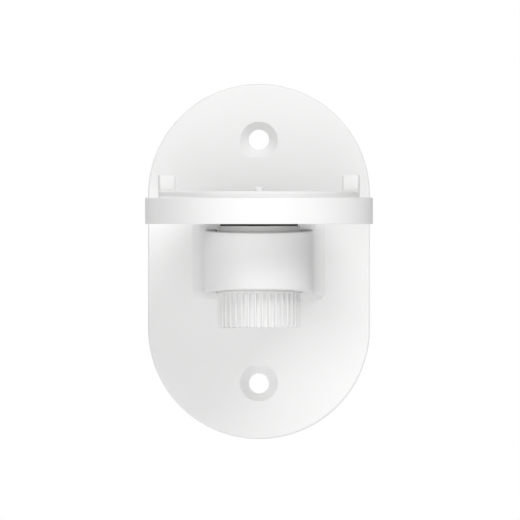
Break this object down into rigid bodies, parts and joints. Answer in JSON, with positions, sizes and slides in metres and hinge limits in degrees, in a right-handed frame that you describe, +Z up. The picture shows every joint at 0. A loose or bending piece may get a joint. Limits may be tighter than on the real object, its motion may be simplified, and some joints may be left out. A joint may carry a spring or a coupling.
{
  "type": "camera wall mount",
  "caption": "Wall mount for a nursery camera: a domed oval wall plate with an arm and boss, a round panning platform with two lugs on top, and a ribbed lock knob below.",
  "frame": {"origin": "on the wall, behind the centre of the wall plate, on the plate's back face", "axes": "+Z up, +Y into the wall, -Y into the room, +X to the right as seen from the room; the pan axis is parallel to Z, 40 mm in front of the wall"},
  "size_m": [0.0632, 0.0716, 0.0986],
  "materials": {
    "bracket_plastic": "fine moulded satin, white",
    "platform_plastic": "fine moulded satin, white",
    "knob_plastic": "fine moulded satin, white",
    "bush_plastic": "smooth natural acetal",
    "washer_rubber": "matt black",
    "zinc_steel": "bright zinc plate",
    "insert_brass": "turned"
  },
  "bodies": {
    "bracket": {"wall_bracket": "bracket_plastic", "swivel_bush": "bush_plastic"},
    "platform": {"platform_tray": "platform_plastic", "platform_deck": "platform_plastic", "deck_screw_1": "zinc_steel", "deck_screw_2": "zinc_steel", "deck_screw_3": "zinc_steel", "pivot_bolt": "zinc_steel", "friction_washer": "washer_rubber", "detent_spring": "zinc_steel"},
    "detent": {"detent_pin": "platform_plastic"},
    "clamp_washers": {"flat_washer": "zinc_steel", "spring_washer": "zinc_steel"},
    "knob": {"lock_knob": "knob_plastic", "knob_insert": "insert_brass"}
  },
  "joints": [
    {"name": "platform_pan", "type": "hinge", "parent": "bracket", "child": "platform", "pos_m": [0, -0.04, 0.0104], "axis": [0, 0, 1], "continuous": true},
    {"name": "detent_press", "type": "slide", "parent": "platform", "child": "detent", "axis": [0, 0, -1], "range_m": [0, 0.0013], "stiffness_N_per_m": 800, "springref_m": -0.0008, "deforming": ["detent_spring"]},
    {"name": "knob_travel", "type": "slide", "parent": "platform", "child": "clamp_washers", "axis": [0, 0, -1], "range_m": [0, 0.00201]},
    {"name": "knob_turn", "type": "hinge", "parent": "clamp_washers", "child": "knob", "pos_m": [0, -0.04, -0.00815], "axis": [0, 0, -1], "range_deg": [0, 720]}
  ],
  "couplings": [
    {"joint": "knob_travel", "follows": "knob_turn", "m_per_rad": 0.00015915}
  ]
}
